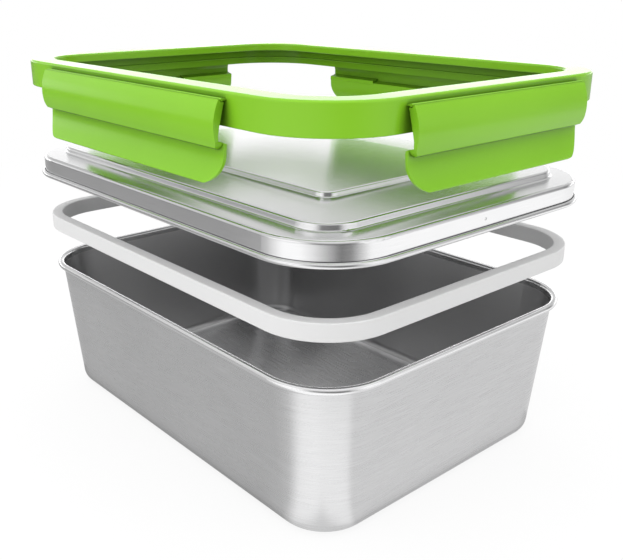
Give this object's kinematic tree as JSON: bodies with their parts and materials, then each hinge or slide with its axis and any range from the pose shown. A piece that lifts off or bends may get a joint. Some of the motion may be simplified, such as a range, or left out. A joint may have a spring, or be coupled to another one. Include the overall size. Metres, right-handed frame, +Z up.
{
  "type": "clip-top lunch box",
  "caption": "Rectangular steel lunch box: pressed tray, silicone seal, pressed lid and a green clip frame with hinged side latches, shown lifted apart.",
  "frame": {"origin": "middle of the tray's flat base", "axes": "+Z up, +X along the tray's long side; a long side faces -Y and a short side faces +X"},
  "size_m": [0.2166, 0.1666, 0.1545],
  "materials": {
    "tray_steel": "fine horizontal brushing",
    "lid_steel": "bright fine satin",
    "silicone": "matt light grey silicone",
    "green_plastic": "glossy moulded bright green"
  },
  "bodies": {
    "tray": {"tray": "tray_steel"},
    "seal": {"seal": "silicone"},
    "lid": {"lid": "lid_steel"},
    "frame": {"clip_frame": "green_plastic", "film_hinge_front": "green_plastic", "film_hinge_right": "green_plastic", "film_hinge_back": "green_plastic", "film_hinge_left": "green_plastic"},
    "latch_front": {"latch_front": "green_plastic"},
    "latch_right": {"latch_right": "green_plastic"},
    "latch_back": {"latch_back": "green_plastic"},
    "latch_left": {"latch_left": "green_plastic"}
  },
  "joints": [
    {"name": "seal_seat", "type": "slide", "parent": "tray", "child": "seal", "axis": [0, 0, 1], "range_m": [-0.0164, 0]},
    {"name": "lid_seat", "type": "slide", "parent": "seal", "child": "lid", "axis": [0, 0, 1], "range_m": [-0.0263, 0]},
    {"name": "frame_seat", "type": "slide", "parent": "lid", "child": "frame", "axis": [0, 0, 1], "range_m": [-0.0373, 0]},
    {"name": "latch_front_hinge", "type": "hinge", "parent": "frame", "child": "latch_front", "pos_m": [0, -0.0798, 0.1521], "axis": [-1, 0, 0], "range_deg": [-18, 135]},
    {"name": "latch_right_hinge", "type": "hinge", "parent": "frame", "child": "latch_right", "pos_m": [0.1048, 0, 0.1521], "axis": [0, -1, 0], "range_deg": [-18, 135]},
    {"name": "latch_back_hinge", "type": "hinge", "parent": "frame", "child": "latch_back", "pos_m": [0, 0.0798, 0.1521], "axis": [1, 0, 0], "range_deg": [-18, 135]},
    {"name": "latch_left_hinge", "type": "hinge", "parent": "frame", "child": "latch_left", "pos_m": [-0.1048, 0, 0.1521], "axis": [0, 1, 0], "range_deg": [-18, 135]}
  ]
}
